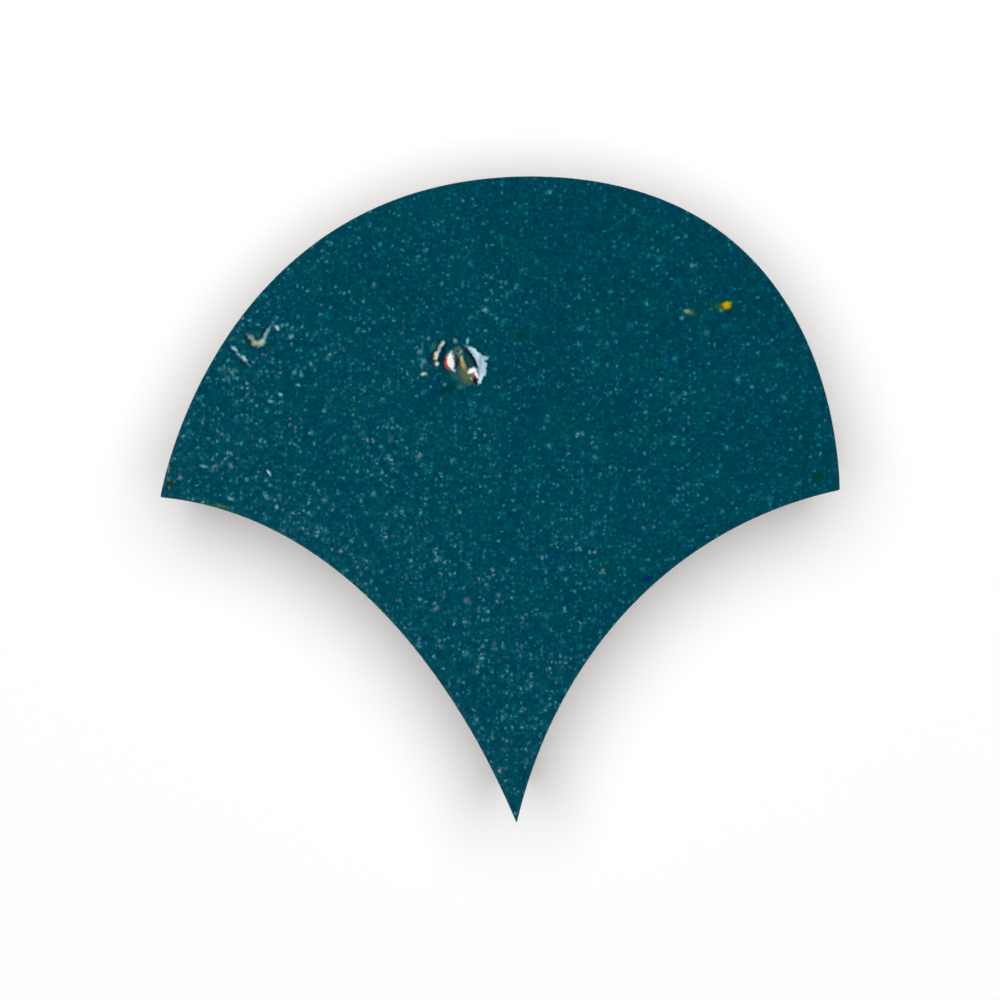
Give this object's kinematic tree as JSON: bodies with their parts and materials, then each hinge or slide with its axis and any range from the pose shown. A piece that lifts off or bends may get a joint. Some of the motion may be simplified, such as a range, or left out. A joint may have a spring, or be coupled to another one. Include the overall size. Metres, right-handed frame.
{
  "type": "fish scale tile",
  "caption": "Hand-cut scallop tile of fired clay with a teal glazed face: round shoulders rise to a crown, hollow coves run to a tip, and the sides slope in to a flat bedding back.",
  "frame": {"origin": "middle of the tile's box, on the flat back that goes into the adhesive bed", "axes": "+X from the left corner to the right corner, +Y to the crown, +Z out of the glazed face"},
  "size_m": [0.065, 0.062, 0.01],
  "materials": {
    "glazed_clay": "satin to gloss teal glaze on the face, with fine pale grains, a burst blister and crawled spots; bare fired clay on the sides and back"
  },
  "bodies": {
    "root": {"fish_scale_tile": "glazed_clay"}
  },
  "joints": []
}
